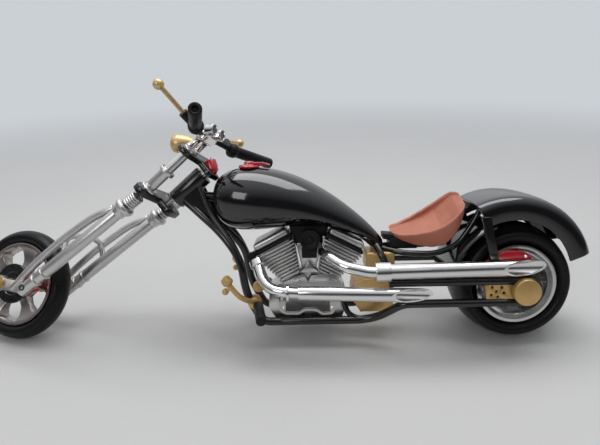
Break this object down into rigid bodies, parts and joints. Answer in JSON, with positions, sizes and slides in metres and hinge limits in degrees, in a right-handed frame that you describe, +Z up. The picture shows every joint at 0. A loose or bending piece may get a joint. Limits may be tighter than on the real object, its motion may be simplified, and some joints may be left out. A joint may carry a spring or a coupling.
{
  "type": "toy chopper motorcycle",
  "caption": "Toy long-fork chopper motorcycle on its side stand, fork turned right, with turning wheels, steering and a folding stand.",
  "frame": {"origin": "on the ground, under the middle of the whole toy's bounding box", "axes": "+X forward, +Y to the bike's left, +Z up; the bike leans 9 degrees to its right on the side stand"},
  "size_m": [0.3299, 0.0976, 0.1379],
  "materials": {
    "black_gloss": "gloss black paint",
    "silver": "bright silver",
    "chrome": "polished chrome",
    "gold": "matte gold paint",
    "red": "dark red plastic",
    "black_plastic": "matt black plastic",
    "seat_cover": "matt terracotta plastic",
    "rubber": "black tyre rubber"
  },
  "bodies": {
    "frame": {"frame_neck": "black_gloss", "frame_backbone": "black_gloss", "down_tubes": "black_gloss", "lower_rails": "black_gloss", "axle_rails": "black_gloss", "seat_posts": "black_gloss", "seat_rails": "black_gloss", "fuel_tank": "black_gloss", "fuel_cap": "red", "seat": "seat_cover", "seat_base": "black_plastic", "rear_fender": "black_gloss", "fender_struts": "black_gloss", "crankcase": "silver", "engine_cover": "chrome", "front_cylinder": "silver", "rear_cylinder": "silver", "cylinder_heads": "black_gloss", "air_cleaner": "black_plastic", "gearbox": "gold", "oil_tank": "gold", "exhaust_upper": "chrome", "exhaust_lower": "chrome", "rear_axle": "gold", "rear_caliper": "red", "foot_controls": "gold", "foot_pegs": "black_plastic"},
    "fork": {"steering_stem": "silver", "lower_clamp": "black_gloss", "upper_clamp": "black_gloss", "upper_tubes": "silver", "fork_legs": "silver", "fork_collars": "chrome", "fork_springs": "chrome", "front_bars": "silver", "rockers": "silver", "front_axle": "gold", "front_caliper": "red", "fork_brace": "silver", "headlight": "gold", "handlebar_riser": "chrome", "handlebar": "black_plastic", "grips": "black_plastic", "levers": "gold", "gauges": "gold", "marker_lamp": "red"},
    "front_wheel": {"front_rim": "chrome", "front_tyre": "rubber", "front_disc": "silver"},
    "rear_wheel": {"rear_rim": "chrome", "rear_tyre": "rubber", "rear_disc": "silver", "rear_pulley": "silver"},
    "side_stand": {"side_stand": "black_gloss"}
  },
  "joints": [
    {"name": "steering", "type": "hinge", "parent": "frame", "child": "fork", "pos_m": [0.03654, 0.00707, 0.08128], "axis": [-0.7606, -0.1016, 0.6412], "range_deg": [0, 52]},
    {"name": "front_wheel_spin", "type": "hinge", "parent": "fork", "child": "front_wheel", "pos_m": [0.13597, 0.00366, 0.02713], "axis": [0.2846, 0.8356, 0.4699], "continuous": true},
    {"name": "rear_wheel_spin", "type": "hinge", "parent": "frame", "child": "rear_wheel", "pos_m": [-0.12859, 0.0152, 0.02993], "axis": [0, 0.9877, 0.1564], "continuous": true},
    {"name": "side_stand_fold", "type": "hinge", "parent": "frame", "child": "side_stand", "pos_m": [-0.02846, 0.00022, 0.01328], "axis": [0.0904, 0.6761, -0.7313], "range_deg": [0, 91.2]}
  ]
}
